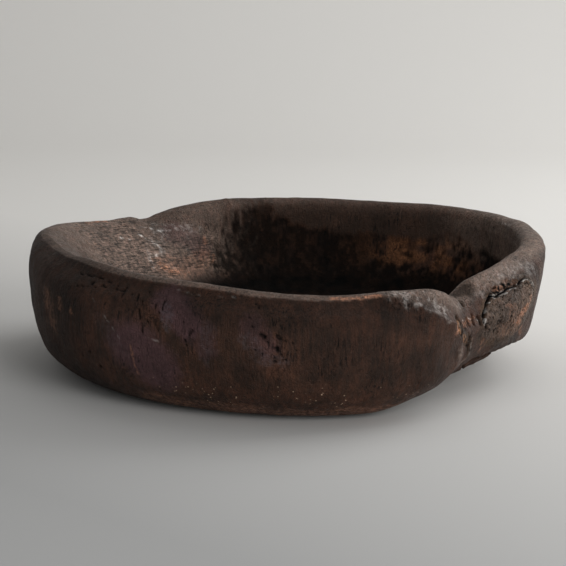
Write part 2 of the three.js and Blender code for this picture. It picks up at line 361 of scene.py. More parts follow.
# Pits as (bearing, height, half width), and checks as two ends and a half width.
PITS = [(264, 113, 1.6), (265.5, 104, 3), (266.5, 103, 3), (268.9, 104, 2.2), (269.5, 101, 1.8),
        (269.1, 92, 2.2), (269.4, 88, 2), (270.8, 98, 1.6), (268.4, 76, 2), (268.5, 80, 1.7),
        (270.6, 78, 1.5), (264.3, 134, 1.8), (265.1, 131, 1.6), (270, 84, 1.6), (272.9, 90, 1.6),
        (267, 97, 1.5), (266.2, 85, 1.2), (264.6, 88, 1.1), (272.2, 97, 1.2), (263.1, 122, 1.2),
        (220.5, 134, 2.6), (224.1, 135, 2.4), (224.9, 45, 2.6), (228.5, 134, 1.6),
        (231.6, 134, 1.4), (234.3, 131, 1.4), (222.4, 60, 1.4), (219.3, 52, 1.3)]
WALL_CHECKS = [((237.9, 127), (238.8, 95), 1.1), ((238.4, 136), (240.1, 107), 1.5),
               ((239.7, 133), (241, 111), 1.1), ((236.3, 132), (236.4, 127), 1.2),
               ((242.7, 118), (242.8, 99), 1), ((243.4, 130), (243.5, 122), 1.3),
               ((248.8, 111), (248.3, 101), 0.6), ((249, 92), (249.4, 86), 0.6),
               ((250.9, 103), (250.2, 98), 0.5), ((231.5, 136), (231.7, 128), 0.9),
               ((237.6, 118), (237.8, 108), 0.9), ((241.6, 126), (241.8, 104), 0.8),
               ((213.5, 138), (220.5, 139), 0.7), ((220.5, 139), (228.5, 137), 0.8),
               ((223.5, 133), (232, 133), 0.6), ((216.5, 129), (222.5, 131), 0.5)]
# Marks of finish by kind and whether they lie inside: half width, strength and line.
FINISH_MARKS = {
    ("raw", False): [
        (6, 0.85, [(310.6, 108), (309.6, 103)]), (2.6, 0.6, [(309.8, 100), (310.9, 93)]),
        (3.6, 0.75, [(312.6, 89), (313.6, 84)]), (3, 0.55, [(316.6, 80), (318.8, 74)]),
        (4, 0.7, [(335.4, 120), (338, 121)]), (4, 0.35, [(335.5, 102), (338, 99)]),
        (7, 0.7, [(341.8, 81), (343.2, 88), (344.4, 94)]),
        (3.5, 0.5, [(345.6, 98), (346.1, 102)]), (14, 0.2, [(338, 92), (341, 78)]),
        (4.5, 0.25, [(329.4, 65), (329.2, 56)]), (9, 0.16, [(333.5, 78), (338.5, 75)]),
        (4, 0.4, [(328.4, 67), (327.8, 64)]), (5, 0.4, [(344.8, 66), (345.4, 60)]),
        (13, 0.3, [(204.5, 104), (208, 78)]), (3.6, 0.5, [(216, 102), (216.4, 97)]),
        (5, 0.4, [(210.8, 110), (211.2, 100)]),
        (1.6, 0.4, [(235.4, 77), (235.8, 61), (236.1, 46)]),
        (16, 0.3, [(236, 14), (262, 13), (285, 13), (298, 14)]),
        (2.6, 0.9, [(280.5, 140), (285.5, 140.5), (291, 142)]),
    ],
    ("raw", True): [
        (3.4, 0.8, [(148, 143.5), (145, 142.5), (140, 140.5)]),
        (18, 0.27, [(133, 90), (125, 80), (114, 84)]),
        (6.5, 0.72, [(132.6, 88), (129.8, 83), (127, 77)]), (4.5, 0.6, [(126, 78), (122, 75)]),
        (4, 0.6, [(111.2, 81), (110.5, 89)]), (3, 0.6, [(113.3, 113), (113, 106)]),
    ],
    ("violet", False): [
        (36, 1, [(235.5, 76), (241.5, 56)]), (22, 1, [(243.5, 132), (250, 110)]),
        # The mark from (264, 110) to (267, 92) is a painted bluish sheen over the pits.
        (16, 0.5, [(264, 110), (267, 92)]), (14, 0.4, [(253, 105), (254, 84)]),
    ],
    ("violet", True): [
        (17, 0.5, [(124, 122), (118, 114), (115, 98)]),
    ],
    ("bloom", False): [
        (8, 0.24, [(244, 124), (244.8, 104)]), (10, 0.14, [(254, 105), (253.9, 86)]),
        (7, 0.12, [(253.5, 76), (254.2, 66)]), (9, 0.16, [(263, 98), (266, 78), (270.7, 76)]),
        (13, 0.1, [(227, 98), (232.2, 72)]),
    ],
    # Pale scuffs, with painted glints: the small bright marks by the checks at the knot are
    # painted glints, and the broad marks on the hewn facet and over the crack are painted light.
    ("scuffs_and_painted_glints", False): [
        (0.9, 0.16, [(245.2, 141), (249.8, 139), (253.3, 138), (259.5, 139)]),
        (1.4, 0.5, [(253.6, 138), (254.2, 137)]), (0.9, 0.16, [(239.6, 89), (242.7, 87)]),
        (0.8, 0.16, [(223.2, 120), (227.1, 106), (230.3, 93), (232.1, 83)]),
        (11, 0.32, [(294, 143), (299, 138.5), (303, 130.5), (306, 119)]),
        (11, 0.2, [(329, 118), (334, 126), (342, 132), (350, 134)]),
        (5, 0.2, [(321, 114), (318, 108)]), (1.5, 0.8, [(315.4, 101), (317.6, 99)]),
        (1.3, 0.8, [(321, 98), (322.2, 96)]), (1.3, 0.8, [(324.2, 96), (325, 93)]),
        (2.2, 0.22, [(2.7, 143), (359.1, 133)]),
    ],
    # On the slope: pale scuffs mixed with painted glints.
    ("scuffs_and_painted_glints", True): [
        (12, 0.2, [(127, 128), (129.9, 113), (133, 100), (134, 90)]),
        (7, 0.2, [(126, 128), (120, 126), (115, 124)]),
        (1.9, 0.9, [(134.8, 125), (133.6, 122), (132.5, 116), (131, 113)]),
        (1.7, 0.9, [(131.6, 131), (128.6, 128), (125.9, 124)]),
        (2.1, 0.8, [(130.8, 113), (130.2, 108), (130.6, 103)]),
        (1.8, 0.8, [(140.8, 123), (139.8, 121)]), (1.5, 0.7, [(138.6, 120), (137.4, 118)]),
        (3, 0.5, [(133, 100), (136, 96), (137, 88)]),
        (4, 0.2, [(117.8, 131), (118.8, 114), (120.2, 97)]),
        (2.2, 0.3, [(24.9, 157), (18.1, 156)]),
    ],
}
# Where the hollow's rough dark lower part begins, by bearing.
ROUGH_BELOW = [(0, 108), (20, 112), (32, 117), (40, 125), (52, 117), (63, 114), (75, 118),
               (86, 123), (91, 128), (94, 146), (145, 146), (150, 44), (180, 44), (205, 60),
               (235, 96), (270, 98), (330, 104), (360, 108)]
# Where the hollow ends and the slope begins at the back, as (height, bearing).
SLOPE_FROM = [(40, 128), (46, 125), (60, 115), (88, 110), (118, 106.5), (146, 102)]
# Strokes of the gouge at the back of the hollow.
STROKES = [((101.6, 122), (103.4, 108)), ((104, 98), (105.8, 88)), ((100.2, 120), (101.6, 106)),
           ((102.4, 140), (103.4, 128)), ((98.8, 84), (100.6, 74)), ((106, 78), (107.8, 68)),
           ((99, 134), (100, 122)), ((104.8, 112), (106.8, 100)), ((97.4, 108), (98.6, 98))]

# Bearings of places that the work below goes by.
RIGHT_WALL = 5
FULL_CORNER = 12
WARM_PATCH = 53
BACK = 82
DARK_CORNER = 86
SLOPE_ENDS = 102
SLOPE_TOP = 115
RIM_CREASE = 127.8
RIM_HUMP = 133.2
SLOPE_MIDDLE = 152
HOLLOW_AGAIN = 172
SLOPE_FOOT = 184
LEFT_END = 196
DARK_LEFT = 200
FRONT = 270
DUSTY = 272
RAGGED_FOOT = 334
KNOT_MIDDLE = 337
UNDERCUT = 338
RIGHT_END = 350
# Half the width of the grown-in bark, and how far past the knot's rim its piece reaches.
BARK_HALF_WIDTH = 9
KNOT_MARGIN = 8
# How deep the bowl is cut under the two pieces, how far they stand above the rest of its surface
# and dive under it at their edges, and how deep the point lies that closes their backs.
SINK = 14
LIFT = 0.2
DIVE = 3
BACK_POINT = 30
# Kinds of finish, some of them partly painted light and shade. Each is a mask that the material
# reads.
MASKS = ("worn_and_painted_light", "dark", "raw", "deep", "scuffs_and_painted_glints", "violet", "warm", "dusted", "bloom", "even")


def slope_share(skin):
    """1 on the left end's slope inside, 0 off it."""
    off = np.abs(feathered(skin) - SLOPE_MIDDLE)
    return ramp(off, 58, 40) * skin.inside * ramp(skin.height, 52, 78)


def rough_share(skin):
    """1 in the rough lower part of the hollow's walls, 0 above its ragged edge."""
    bearings, heights = np.array(ROUGH_BELOW).T
    turned = skin.bearing + 2.5 * noise(skin.spots, 9, 54)
    border = np.interp(turned, bearings, heights)
    border += 4 * noise(skin.spots, 16, 41) + 2.5 * noise(skin.lay, (3.5, 3.5, 16), 45)
    past_turn = feathered(skin) - np.interp(skin.height, *np.array(SLOPE_FROM).T)
    hollow = np.maximum(ramp(past_turn, 3.5, -4.5), skin.bearing > HOLLOW_AGAIN)
    return hollow * skin.inside * ramp(skin.height - border, 5, -5) * ramp(skin.height, 33, 42)


def feathered(skin):
    """Bearings frayed into upright strokes, for where the slope turns into the hollow."""
    strokes = 3 * noise(skin.lay, (3, 3, 16), 52) + 2 * noise(skin.lay, (2.4, 2.4, 8), 53)
    return skin.bearing + strokes


def front_share(skin):
    """1 along the front wall, 0 past its ends."""
    half = LIP_EDGE["half"]
    return ramp(skin.turn_from(LIP_EDGE["middle"]), half, half - 14)


def hewing(skin):
    """Relief that the tools left all over."""
    s, lay = skin.spots, skin.lay
    off_foot = ramp(skin.height, 1, 14)
    relief = noise(s, 75, 1) + 0.6 * noise(s, 34, 2) + 0.32 * noise(s, 14, 3)
    relief *= 0.35 + 0.65 * off_foot
    # Outside: broad strokes of a drawknife, and the fibres along them.
    wall = ramp(skin.along, 0, -18) * off_foot
    relief += wall * (0.5 * noise(lay, (13, 13, 60), 4) + 0.2 * noise(lay, (4, 4, 30), 5))
    # Inside: the slope is ribbed level, and the hollow's walls are rough from a gouge.
    slope = slope_share(skin)
    relief += slope * (0.35 * noise(lay, (26, 26, 4), 10) + 0.6 * noise(lay, (8, 8, 90), 12))
    rough = rough_share(skin)
    relief += rough * (1.2 * noise(lay, (9, 9, 22), 6) + 0.8 * noise(lay, (4.5, 4.5, 11), 7) - 1.2)
    turn = ramp(skin.turn_from(SLOPE_ENDS), 12, 5) * skin.inside * ramp(skin.height, 50, 66)
    relief += turn * (1.3 * noise(lay, (4.5, 4.5, 22), 13) + 0.6 * noise(lay, (3, 3, 10), 14))
    # The rim is fuller at the right back corner, and has a hump and a crease at the left back.
    rim = ramp(np.abs(skin.along + 2), 22, 6)
    relief += 1.8 * ramp(skin.turn_from(FULL_CORNER), 16, 6) * rim
    relief += 1.5 * ramp(skin.turn_from(RIM_HUMP), 5, 1) * rim
    relief -= 2.6 * ramp(skin.turn_from(RIM_CREASE), 4, 1) * rim
    floor = ramp(skin.height, 44, 36) * skin.inside
    return relief + floor * (0.8 * noise(s, (16, 9, 9), 8) + 0.4 * noise(s, 6, 9))


def depth_in_knot(skin, ground):
    """Distance inside the knot's rim, negative outside it."""
    millimetres = math.radians(KNOT_REACH)
    spots = np.stack([(skin.bearing - KNOT_MIDDLE) * millimetres, -skin.along], 1)
    loop = []
    for bearing, height in KNOT_RIM:
        nearest = from_spot(ground.spots, ground.place(bearing, height)).argmin()
        turned = (ground.bearing[nearest] - KNOT_MIDDLE) * millimetres
        loop.append((turned, -ground.along[nearest]))
    off = np.full(len(spots), np.inf)
    within = np.zeros(len(spots), bool)
    u, v = spots.T
    for a, b in zip(np.array(loop), np.roll(loop, -1, 0)):
        off = np.minimum(off, from_stretch(spots, a, b))
        crosses = (a[1] > v) != (b[1] > v)
        rise = b[1] - a[1] or TINY
        within ^= crosses & (u < a[0] + (v - a[1]) / rise * (b[0] - a[0]))
    return np.where(within & ~skin.inside, off, -off)


def depth_in_bark(skin, ground, knot_depth):
    """Distance inside the edge of the grown-in bark, negative outside it."""
    run = BARK_HALF_WIDTH - from_line(skin.spots, ground.places(BARK_RUN))
    return np.minimum(run, -knot_depth - KNOT_MARGIN - 1)


class Work:
    """What is done to a skin: how far it is raised or cut, and how far each kind of finish,
    painted light and shade among them, covers it. Places are looked up on the ground, the whole
    bowl's skin; ragged frays edges."""

    def __init__(self, skin, ground):
        self.skin, self.ground = skin, ground
        self.relief = hewing(skin)
        self.masks = {name: np.zeros(len(skin.spots)) for name in MASKS}
        self.ragged = noise(skin.spots, 3.2, 21)
        self.in_knot = depth_in_knot(skin, ground)
        self.in_bark = depth_in_bark(skin, ground, self.in_knot)

    def off_line(self, places, inside=False):
        """Distance of each point from a line of (bearing, height) places."""
        return from_line(self.skin.spots, self.ground.places(places, inside))

    def off_spot(self, bearing, height):
        """Distance of each point from a place."""
        return from_spot(self.skin.spots, self.ground.place(bearing, height))

    def mark(self, name, values):
        """Lays a finish, where it isn't laid more strongly already."""
        self.masks[name] = np.maximum(self.masks[name], values)


def crack_and_pocket(work):
    """The crack gapes widest at the left, painted glints lie along its lips, and the wood over it
    has rotted out."""
    s = work.skin.spots
    for line, width, depth in CRACK:
        off = work.off_line(line) + 0.5 * noise(s, 7, 20)
        work.relief -= depth * ramp(off, width + 0.8, 0)
        work.relief += 1.1 * ramp(off, width + 4.5, width + 1) * ramp(off, width - 0.2, width + 1)
        work.mark("dark", ramp(off, width + 0.5, width - 0.5))
        # Painted glints along the lips.
        lip = ramp(off, width + 2.1, width + 1.1) * ramp(work.in_knot, -1.5, 1)
        work.mark("scuffs_and_painted_glints", 0.85 * lip * ramp(noise(s, 5, 22), -0.2, 0.3))
    hollowed = ramp(work.off_line(ROTTED_POCKET) + 1.8 * work.ragged, 7, 2)
    work.relief -= hollowed * (2.6 + 1.8 * noise(s, 3, 23))
    work.mark("raw", 0.4 * hollowed * ramp(noise(s, 5, 47), -0.5, 0.3))
    work.mark("dark", hollowed * ramp(noise(s, 3.2, 24), -0.25, 0.3))


def knot_face(work):
    """The knot's own face stands a little proud, and is finely pitted."""
    s = work.skin.spots
    face = ramp(work.in_knot, 0, 4)
    pits = ramp(noise(s, 1.8, 27), 0.3, 0.5) * ramp(noise(s, 9, 48), -0.5, 0.2)
    work.relief += face * (0.8 + 0.5 * noise(s, 7, 28) + 0.3 * noise(s, 2.5, 55) - 0.9 * pits)
    work.mark("dark", 0.85 * face * pits)
    work.mark("worn_and_painted_light", 0.48 * face)


def torn_wood(work):
    """From the seam to the crack the wood is torn, and bare in places."""
    torn = ramp(work.off_line(TORN_LINE) + 1.5 * work.ragged, 7, 2)
    fibres = noise(work.skin.lay, (2.6, 2.6, 9), 49)
    work.relief += torn * (fibres - 0.6)
    work.mark("raw", 0.55 * torn * ramp(fibres, -0.4, 0.2))


def bark_plates(work):
    """Bark: broken plates with rotted wood between them."""
    bark = ramp(work.in_bark + 2.2 * work.ragged, 0, 4)
    plates = np.abs(noise(work.skin.lay, (5.5, 5.5, 8), 29))
    sunk = 2.4 * ramp(plates, 0.28, 0.06) + 1 + 0.9 * noise(work.skin.spots, 4, 30)
    work.relief -= bark * sunk
    work.mark("dark", 0.85 * bark * ramp(plates, 0.25, 0.05))


def checks_and_pits(work):
    """Checks open along the fibres by the knot and in the front wall, and pits beside them."""
    for start, end, width in CHECKS_BY_KNOT:
        off = work.off_line([start, end]) + 0.3 * work.ragged
        work.relief -= 5 * ramp(off, width + 0.7, 0)
        work.mark("dark", ramp(off, width + 0.6, width * 0.4))
    for start, end, width in WALL_CHECKS:
        off = work.off_line([start, end]) + 0.7 * work.ragged
        off += 0.7 * ramp(noise(work.skin.spots, 11, 51), 0, -0.4)
        work.relief -= 1.6 * ramp(off, width + 1.2, 0)
        work.mark("dark", 0.95 * ramp(off, width + 0.8, width * 0.3))
    for bearing, height, width in PITS:
        off = work.off_spot(bearing, height) + (0.3 + 0.35 * width) * work.ragged
        work.relief -= 1.2 * width * ramp(off, width + 1.2, 0)
        work.mark("dark", ramp(off, width + 0.9, width * 0.4))


def seam_and_cleft(work):
    """Below the cleft a bead of healed wood with a painted highlight, a bulge and a split; in it a
    dimple with painted shade, and a notch.
    """
    bead = work.off_line(BEAD)
    work.relief += 1.6 * ramp(bead, 3, 0.4) - 0.4 * ramp(bead, 7.5, 4) * ramp(bead, 2.2, 4)
    # Painted highlight along the bead.
    work.mark("scuffs_and_painted_glints", 0.14 * ramp(bead, 2.2, 0.6))
    work.mark("worn_and_painted_light", 0.5 * ramp(bead, 4, 1))
    bulge = work.off_spot(*BULGE)
    work.relief += 2.2 * ramp(bulge, 12, 3)
    work.mark("worn_and_painted_light", 0.8 * ramp(bulge + 2 * work.ragged, 9, 4))
    split = work.off_line(SPLIT) + 0.5 * work.ragged
    work.relief -= 4.5 * ramp(split, 2.4, 0.2)
    work.mark("dark", ramp(split, 2.2, 0.8))
    dimple = work.off_line(DIMPLE)
    work.relief -= 5.5 * ramp(dimple, 17, 2)
    # Painted shade in the dimple.
    work.mark("deep", 0.75 * ramp(dimple + 2.5 * work.ragged, 15, 5))
    notch = work.off_line(NOTCH) + 0.6 * work.ragged
    work.relief -= 3 * ramp(notch, 2.6, 0)
    work.mark("dark", 0.9 * ramp(notch, 1.9, 0.6))


def crisp_edges(work):
    """The edge of the hewn facet, and the outer edge of the rim along the front."""
    skin = work.skin
    work.relief += 4.2 * ridge(work.off_line(ARRIS), 15)
    lip_off = np.abs(skin.along + LIP_EDGE["off"])
    work.relief += LIP_EDGE["rise"] * front_share(skin) * ridge(lip_off, LIP_EDGE["width"])


def gouge_strokes(work):
    """Strokes of a gouge stand out in the back of the hollow, lighter than the wood round them."""
    off = np.full(len(work.relief), np.inf)
    for stroke in STROKES:
        off = np.minimum(off, work.off_line(stroke, inside=True))
    work.relief += 1.9 * ramp(off, 2.8, 0.5)
    work.mark("worn_and_painted_light", 0.7 * ramp(off, 1.9, 0.5))


def laid_finish(work):
    """Marks of finish, painted light among them, frayed at their edges; scuffs and painted glints
    are broken as well.
    """
    s = work.skin.spots
    breaks = ramp(noise(s, 4.5, 50) + 0.5 * work.ragged, -0.35, 0.35)
    for (name, inside), marks in FINISH_MARKS.items():
        for width, strength, line in marks:
            off = work.off_line(line, inside)
            off += min(width, 9) * (0.45 * work.ragged + 0.5 * noise(s, 1.6 * width + 3, 31))
            laid = strength * ramp(off, width * 1.15, width * 0.45)
            work.mark(name, laid * breaks if name == "scuffs_and_painted_glints" else laid)


def undercut(work):
    """The lower edge of the right end is sharp and ragged, and the wood under it is cut back."""
    skin = work.skin
    low = ramp(skin.turn_from(RAGGED_FOOT), 30, 18) * ramp(np.abs(skin.height - 40), 24, 6)
    low *= ~skin.inside
    work.relief += low * (noise(skin.spots, 15, 25) + 0.6 * noise(skin.spots, 6, 26))
    work.relief += 2.4 * ridge(work.off_line(LOWER_EDGE), 11)
    edge_height = np.interp(skin.bearing, *np.array(LOWER_EDGE).T)
    under = ~skin.inside * ramp(skin.turn_from(UNDERCUT), 28, 16)
    below = ramp(edge_height - skin.height, 0, 15) * ramp(skin.height, 2, 14)
    work.relief -= 6.5 * under * below


def rubbed_by_hands_and_painted_light(work):
    """Hands have rubbed the rim, broadly at the right end and to a hard edge along the front, and
    the slope. The lighter colour is partly painted light: on the rim it is laid only where the rim
    faces up, and the slope and the inside of the right wall are painted lighter for the light that
    falls on them."""
    skin = work.skin
    right_end = ramp(skin.turn_from(RIGHT_END), 62, 45)
    outer_lip = ramp(-skin.along + 0.8 * work.ragged, 10 + 19 * right_end, 8.5 + 0.5 * right_end)
    lip = np.where(skin.inside, ramp(skin.along, 26, 8), outer_lip)
    rubbing = 0.6 + 0.26 * right_end - 0.3 * ramp(skin.turn_from(BACK), 55, 35)
    # Painted light: on the rim the lighter colour is laid only where the rim faces up.
    work.mark("worn_and_painted_light", rubbing * lip * ramp(skin.normals[:, 2], -0.1, 0.5))
    # Painted light: the inside of the right wall is made lighter.
    right_wall = skin.inside * ramp(skin.turn_from(RIGHT_WALL), 50, 25)
    work.mark("worn_and_painted_light", 0.66 * right_wall * ramp(skin.height, 90, 120))
    # The slope is worn lighter and painted lighter for the light falling on it, less at the left
    # end and at its top.
    waxed = 0.47 * ramp(skin.turn_from(LEFT_END), 46, 20)
    waxed += 0.42 * ramp(skin.turn_from(SLOPE_TOP), 20, 8) * ramp(skin.height, 112, 128)
    work.mark("worn_and_painted_light", (0.97 - waxed) * slope_share(skin))


def blackened_and_shaded(work):
    """The hollow is black low down, from dark stain and from painted shade, scraped browner by use
    on the floor and the foot of the slope, and blotched on its rough walls, with more painted
    shade at the back of the rough wall. The outside has painted shade under the front rim and at
    the left end."""
    skin, s = work.skin, work.skin.spots
    # Painted shade: darker under the front rim, and on the outside at the left end, away from the
    # light.
    below_lip = ramp(-skin.along, 9, 11) * ramp(-skin.along, 60, 30)
    work.mark("deep", 0.32 * below_lip * front_share(skin))
    work.mark("deep", 0.3 * ~skin.inside * ramp(skin.turn_from(DARK_LEFT), 34, 16))
    slope, rough = slope_share(skin), rough_share(skin)
    # The hollow is black low down from dark stain, with painted shade where the light does not
    # reach.
    lower = skin.inside * (1 - slope) * ramp(skin.height + 7 * noise(s, 18, 44), 88, 58)
    slope_foot = 0.8 * ramp(skin.turn_from(SLOPE_FOOT), 52, 20)
    scraped = np.maximum(ramp(skin.height, 46, 36), slope_foot)
    scraped *= ramp(noise(s, (30, 16, 16), 57), -1.3, 0.6)
    lower *= 0.95 + 0.08 * noise(s, 9, 56) - 0.5 * scraped
    # Painted shade: the back of the hollow's rough wall is darker still.
    left_wall = 0.75 * rough * ramp(skin.turn_from(DARK_CORNER), 34, 14)
    warmth = ramp(skin.turn_from(WARM_PATCH), 27, 8) * ramp(skin.height, 74, 88)
    bare_left = 0.9 * noise(skin.lay, (3.5, 3.5, 8), 42) + 0.6 * noise(s, 14, 43) + 0.9 * warmth
    bare_left -= 0.5 * ramp(skin.turn_from(FRONT), 90, 60)
    blotches = rough * ramp(bare_left, 1.25, 0)
    work.mark("deep", np.maximum.reduce([lower, left_wall, 0.9 * blotches]))
    work.mark("warm", rough * (0.25 + 0.75 * warmth) * ramp(noise(s, 12, 46), -0.7, 0.3))
    upper_wall = skin.inside * (1 - rough) * (1 - slope) * ramp(skin.along, 6, 22)
    work.mark("even", 0.75 * upper_wall * ramp(skin.height, 90, 110))


def dusty_front(work):
    """Pale dust lies low on the front."""
    skin = work.skin
    front = ~skin.inside * ramp(skin.turn_from(DUSTY), 42, 20)
    work.mark("dusted", front * ramp(np.abs(skin.height - 33), 20, 6))


def under_both(work):
    """How the bowl's own surface lies: cut away under the two pieces."""
    return -SINK * ramp(np.maximum(work.in_knot + KNOT_MARGIN, work.in_bark), 2, 8)


def let_in(depth):
    """How a piece lies over the bowl's surface: just above it, and diving under at its edge."""
    return LIFT - (DIVE + LIFT) * ramp(depth, 1.6, -2)


def solid_mesh(name, skin, spots):
    """A closed mesh of a skin's grid. Where the grid closes up on itself, each end has a point;
    otherwise one point inside the wood closes it."""
    columns, rows = skin.shape
    index = np.arange(columns * rows).reshape(skin.shape)
    if skin.closed:
        before, after = index, np.roll(index, -1, 0)
        ends = spots.reshape(columns, rows, 3)[:, [0, -1]].mean(0)
        caps = [(columns * rows, index[c, 0], after[c, 0]) for c in range(columns)]
        caps += [(columns * rows + 1, after[c, -1], index[c, -1]) for c in range(columns)]
    else:
        before, after = index[:-1], index[1:]
        middle = index[columns // 2, rows // 2]
        ends = [skin.spots[middle] - BACK_POINT * skin.normals[middle]]
        ring = [*index[:, 0], *index[-1, 1:], *index[-2::-1, -1], *index[0, -2:0:-1]]
        caps = [(columns * rows, a, b) for a, b in zip(ring, ring[1:] + ring[:1])]
    quads = np.stack([before[:, :-1], before[:, 1:], after[:, 1:], after[:, :-1]], 2)
    faces = quads.reshape(-1, 4).tolist() + [[int(v) for v in cap] for cap in caps]
    mesh = bpy.data.meshes.new(name)
    mesh.from_pydata(np.concatenate([spots, ends]) * MM, [], faces)
    mesh.shade_smooth()
    return mesh


def give(mesh, name, values):
    """Keeps a value for each point of a mesh, which the finish reads by name."""
    spare = len(mesh.vertices) - len(values)
    values = np.concatenate([values, np.repeat(values[:1], spare, 0)])
    kind, field = ("FLOAT_VECTOR", "vector") if values.ndim == 2 else ("FLOAT", "value")
    kept = mesh.attributes.new(name, kind, "POINT")
    kept.data.foreach_set(field, values.astype(np.float32).ravel())


def show(name, skin, lies, finish, node):
    """Works a skin and shows it as a piece of the bowl, in the place of a node of the frame."""
    work = Work(skin, bowl_skin)
    for step in (crack_and_pocket, knot_face, torn_wood, bark_plates, checks_and_pits,
                 seam_and_cleft, crisp_edges, gouge_strokes, laid_finish, undercut,
                 rubbed_by_hands_and_painted_light, blackened_and_shaded, dusty_front):
        step(work)
    relief = work.relief + lies(work)
    hewn = skin.spots + skin.normals * relief[:, None]
    hewn[:, 2] = np.maximum(hewn[:, 2], 0)
    mesh = solid_mesh(name, skin, hewn)
    give(mesh, "lay", skin.lay * MM)
    for mask, values in work.masks.items():
        give(mesh, mask, values)
    mesh.materials.append(finish)
    piece = bpy.data.objects.new(name, mesh)
    scene.collection.objects.link(piece)
    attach(piece, "root")
    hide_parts(node)


def linear(code):
    """An sRGB colour written in hex, as the linear colour that a shader takes."""
    parts = [int(code[i : i + 2], 16) / 255 for i in (0, 2, 4)]
    return [p / 12.92 if p <= 0.04045 else ((p + 0.055) / 1.055) ** 2.4 for p in parts] + [1]


def add(tree, kind, inputs=None, **settings):
    """Adds a node. Settings are its own; inputs are values, outputs, or nodes, which stand for
    the first of their outputs in use. Some go by number: a Mix takes its share as 0 and mixes 2
    with 3, or the colours 6 with 7; a MapRange turns 0 from the range 1 to 2 into 3 to 4."""
    node = tree.nodes.new("ShaderNode" + kind)
    for name, value in settings.items():
        setattr(node, name, value)
    for name, value in (inputs or {}).items():
        if isinstance(value, bpy.types.Node):
            value = next(output for output in value.outputs if output.enabled)
        if isinstance(value, bpy.types.NodeSocket):
            tree.links.new(value, node.inputs[name])
        else:
            node.inputs[name].default_value = value
    return node


def per_metre(size):
    """A pattern's scale from its size in millimetres, one number or one for each direction."""
    return 1 / MM / size if isinstance(size, float) else [1 / MM / one for one in size]


